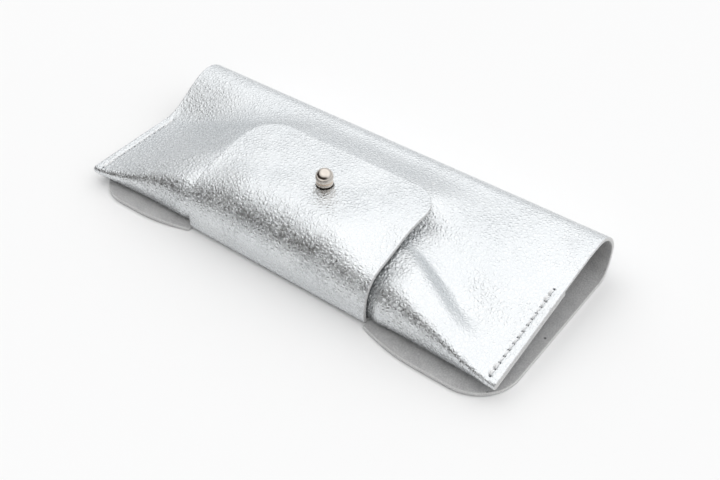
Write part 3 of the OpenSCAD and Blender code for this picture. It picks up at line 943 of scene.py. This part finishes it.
def foil_material():
    """Silver foil on grain leather: pebbled at about a millimetre, with finer pores and folds."""
    n = Nodes("silver_foil_leather")
    at = n.uv("leather_mm")
    drift = n.add("ShaderNodeTexNoise", {"Vector": at, "Scale": 0.9, "Detail": 1.0})
    warp = n.add("ShaderNodeVectorMath", {0: drift.outputs["Color"], 1: (0.5, 0.5, 0.5)},
                 operation="SUBTRACT").outputs[0]
    warped = n.add("ShaderNodeVectorMath", {0: warp, 1: (0.9, 0.9, 0.9), 2: at},
                   operation="MULTIPLY_ADD").outputs[0]
    pebbles = n.remap(n.cells(warped, 0.82, "DISTANCE_TO_EDGE"), 0.0, 0.36)
    small = n.remap(n.cells(warped, 2.1, "DISTANCE_TO_EDGE"), 0.0, 0.30)
    folds = n.noise(n.stretch(warped, (0.62, 0.40, 1.0)), 1.0, 1.0, 0.5, 0.3)
    pores = n.noise(at, 5.5, 2.0, 0.6)
    strong = n.remap(n.noise(at, 0.06, 2.0), 0.35, 0.65, 0.75, 1.15)
    height = n.math("MULTIPLY", pebbles, 0.62)
    height = n.math("MULTIPLY_ADD", small, 0.12, height)
    height = n.math("MULTIPLY_ADD", folds, 0.36, height)
    height = n.math("MULTIPLY_ADD", pores, 0.05, height)
    height = n.math("MULTIPLY", height, strong)
    # Painted shade: the foil is darkened in the creases between the pebbles, where shade falls
    crease_shade = n.math("MULTIPLY", n.remap(pebbles, 0.0, 0.5, 1.0, 0.0), 0.30)
    patches = n.remap(n.noise(at, 0.045, 3.0), 0.3, 0.7)
    base = n.blend(patches, colour(0.735, 0.757, 0.772), colour(0.765, 0.783, 0.793))
    base = n.blend(crease_shade, base, colour(0.60, 0.62, 0.64))
    # Painted shade: the needle holes are coloured near black for the shade inside them
    base = n.blend(needle_hole_shade(n), base, colour(0.06, 0.065, 0.08))
    rough = n.remap(n.noise(at, 0.8, 3.0), 0.3, 0.7, 0.25, 0.30)
    n.set(Base_Color=base, Metallic=1.0, Roughness=rough, Normal=n.bump(height, 0.00017))
    return n.material


def suede_material():
    """Flesh side of the leather: grey nap with clouds, short fibres and a few dark specks."""
    n = Nodes("grey_suede")
    at = n.uv("leather_mm")
    clouds = n.noise(at, 0.16, 4.0, 0.6)
    nap = n.noise(n.stretch(at, (1.0, 0.6, 1.0)), 2.4, 5.0, 0.7, 0.6)
    fibres = n.noise(n.stretch(at, (4.5, 1.2, 1.0)), 1.6, 3.0, 0.6, 1.2)
    base = n.blend(n.remap(clouds, 0.3, 0.7), colour(0.470, 0.470, 0.475),
                   colour(0.580, 0.580, 0.580))
    base = n.blend(n.remap(nap, 0.40, 0.66, 0.0, 0.7), base, colour(0.74, 0.74, 0.735))
    across = n.add("ShaderNodeSeparateXYZ", {0: at}).outputs["X"]
    right_end = n.remap(across, 55.0, 70.0)
    speck = n.remap(n.cells(at, 0.15, "F1"), 0.06, 0.11, 1.0, 0.0)
    base = n.blend(n.math("MULTIPLY", speck, right_end), base, colour(0.04, 0.04, 0.045))
    height = n.math("MULTIPLY_ADD", fibres, 0.6, nap)
    n.set(Base_Color=base, Roughness=0.95, Normal=n.bump(height, 0.0004))
    n.shader.inputs["Specular IOR Level"].default_value = 0.15
    n.shader.inputs["Sheen Weight"].default_value = 0.25
    n.shader.inputs["Sheen Roughness"].default_value = 0.5
    return n.material


def cut_edge_material():
    """Cut edge of the leather: pale, fibrous and unpainted."""
    n = Nodes("cut_edge")
    at = n.uv("leather_mm")
    fibres = n.noise(at, 3.2, 4.0, 0.65, 0.5)
    base = n.blend(n.remap(fibres, 0.35, 0.7), colour(0.55, 0.55, 0.55),
                   colour(0.86, 0.86, 0.85))
    n.set(Base_Color=base, Roughness=0.8, Normal=n.bump(fibres, 0.00012))
    n.shader.inputs["Specular IOR Level"].default_value = 0.25
    return n.material


def thread_material():
    n = Nodes("grey_thread")
    at = n.add("ShaderNodeTexCoord").outputs["Object"]
    fibre = n.noise(at, 2600.0, 3.0, 0.6)
    base = n.blend(n.remap(fibre, 0.3, 0.7), colour(0.80, 0.81, 0.82), colour(0.95, 0.95, 0.95))
    n.set(Base_Color=base, Roughness=0.55, Normal=n.bump(fibre, 0.00005))
    n.shader.inputs["Sheen Weight"].default_value = 0.3
    return n.material


def nickel_material():
    """Polished nickel with faint turning marks and handling haze."""
    n = Nodes("polished_nickel")
    at = n.add("ShaderNodeTexCoord").outputs["Object"]
    rings = n.noise(n.stretch(at, (300.0, 300.0, 9000.0)), 1.0, 2.0)
    haze = n.remap(n.noise(at, 900.0, 3.0), 0.4, 0.7, 0.03, 0.07)
    n.set(Base_Color=colour(0.66, 0.605, 0.55), Metallic=1.0, Roughness=haze,
          Normal=n.bump(rings, 0.000006))
    return n.material


def floor_material():
    n = Nodes("pale_floor")
    at = n.add("ShaderNodeTexCoord").outputs["Object"]
    tone = n.noise(at, 3.0, 2.0)
    base = n.blend(tone, colour(0.895, 0.895, 0.895), colour(0.91, 0.91, 0.91))
    n.set(Base_Color=base, Roughness=0.9)
    n.shader.inputs["Specular IOR Level"].default_value = 0.0
    return n.material


# ------------------------------------------------------------------ camera, floor and light
CAMERA_AZIMUTH = math.radians(38.18)
CAMERA_ELEVATION = math.radians(41.71)
CAMERA_ROLL = math.radians(-0.70)
CAMERA_DISTANCE = 319.7
CAMERA_LENS = 49.24
AIM = np.array([17.94, -9.83, 10.0])


def make_camera():
    az, el = CAMERA_AZIMUTH, CAMERA_ELEVATION
    back = np.array([math.sin(az) * math.cos(el), -math.cos(az) * math.cos(el), math.sin(el)])
    right = unit(np.cross(-back, [0.0, 0.0, 1.0]))
    up = np.cross(right, -back)
    c, s = math.cos(CAMERA_ROLL), math.sin(CAMERA_ROLL)
    right, up = c * right + s * up, -s * right + c * up
    place = (AIM + back * CAMERA_DISTANCE) * MM
    data = bpy.data.cameras.new("camera")
    data.lens = CAMERA_LENS
    data.sensor_width = 36.0
    data.clip_start = 0.01
    camera = bpy.data.objects.new("camera", data)
    columns = np.eye(4)
    columns[:3, 0], columns[:3, 1], columns[:3, 2], columns[:3, 3] = right, up, back, place
    camera.matrix_world = Matrix(columns.tolist())
    bpy.context.scene.collection.objects.link(camera)
    bpy.context.scene.camera = camera


def make_floor():
    side = 4000.0
    corners = [(-side, -side, 0), (side, -side, 0), (side, side, 0), (-side, side, 0)]
    floor = mesh_object("floor", corners, [[0, 1, 2, 3]], [floor_material()])


def make_world():
    """A bright studio: the light stands behind and above, and the near side of the room is dim."""
    world = bpy.data.worlds.new("studio")
    world.use_nodes = True
    tree = world.node_tree
    bpy.context.scene.world = world

    def add(kind, inputs=(), **settings):
        node = tree.nodes.new(kind)
        for key, value in settings.items():
            setattr(node, key, value)
        for key, value in dict(inputs).items():
            if isinstance(value, bpy.types.NodeSocket):
                tree.links.new(value, node.inputs[key])
            else:
                node.inputs[key].default_value = value
        return node

    def ramp(value, stops):
        node = add("ShaderNodeValToRGB", {"Fac": value})
        node.color_ramp.interpolation = "EASE"
        elements = node.color_ramp.elements
        while len(elements) < len(stops):
            elements.new(0.5)
        for element, (position, rgb) in zip(elements, stops):
            element.position = position
            element.color = (*rgb, 1.0)
        return node.outputs["Color"]

    way = add("ShaderNodeSeparateXYZ", {0: add("ShaderNodeTexCoord").outputs["Generated"]})
    height = way.outputs["Z"]
    front = ramp(height, [(0.0, (0.03, 0.025, 0.025)), (0.41, (0.04, 0.035, 0.03)),
                          (0.66, (0.68, 0.68, 0.68)), (0.87, (1.0, 1.0, 1.0))])
    back = ramp(height, [(0.0, (0.40, 0.41, 0.42)), (0.24, (0.53, 0.54, 0.55)),
                         (0.48, (0.83, 0.84, 0.845)), (0.66, (1.0, 1.0, 1.0)),
                         (0.85, (0.92, 0.92, 0.92))])
    far = add("ShaderNodeMath", {0: way.outputs["X"], 1: 0.25, 2: way.outputs["Y"]},
              operation="MULTIPLY_ADD").outputs[0]
    turn = add("ShaderNodeMapRange", {"Value": far, "From Min": -0.5, "From Max": 0.45},
               interpolation_type="SMOOTHSTEP")
    both = add("ShaderNodeMix", data_type="RGBA")
    tree.links.new(turn.outputs[0], both.inputs["Factor"])
    tree.links.new(front, both.inputs["A"])
    tree.links.new(back, both.inputs["B"])
    seen = add("ShaderNodeMix", data_type="RGBA")
    tree.links.new(add("ShaderNodeLightPath").outputs["Is Camera Ray"], seen.inputs["Factor"])
    tree.links.new(both.outputs["Result"], seen.inputs["A"])
    seen.inputs["B"].default_value = (0.72, 0.72, 0.72, 1.0)
    background = tree.nodes["Background"]
    tree.links.new(seen.outputs["Result"], background.inputs["Color"])
    background.inputs["Strength"].default_value = 1.43


# ------------------------------------------------------------------ putting it together
def cut_area(outline):
    """Area inside an outline, in square metres."""
    x, y = outline[:, 0], outline[:, 1]
    return abs(x @ np.roll(y, -1) - y @ np.roll(x, -1)) / 2 * MM * MM


make_camera()
make_floor()
make_world()
scene = bpy.context.scene
scene.view_settings.view_transform = "Standard"

leather = [foil_material(), suede_material(), cut_edge_material()]
nickel = nickel_material()
thread = thread_material()

pocket_piece = strip_leather(leather)
cover_piece = cover_leather(leather)
foot_piece = flap_foot_leather(leather)
flap_piece = flap_leather(leather)
threads = {side: seam_thread(f"{side}_seam_stitches", side == "right", thread)
           for side in ("left", "right")}
stud_piece = turned_object("turned_ball_stud", *stud_profile(), nickel)

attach(cover_piece, "cover")
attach(stud_piece, "pocket")
for side, piece in threads.items():
    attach(piece, "pocket")
    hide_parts(f"seam_thread_{side}")
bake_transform(pocket_piece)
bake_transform(foot_piece)
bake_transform(flap_piece)

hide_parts("far_fold", "front_panel", "near_roll", "pocket_panel")
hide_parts("cover_panel")
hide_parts("flap_wall")
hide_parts("flap_tip", "stud_hole_lips")
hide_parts("ball_stud")

strip_length = np.linalg.norm(np.diff(strip_point(0.0, np.linspace(-1, 4, 500)), axis=0), axis=1)
cut_area(cover_outline())
cut_area(flap_outline())

screw = frame["nodes"]["stud_screw"].data
screw.materials.clear()
screw.materials.append(nickel)
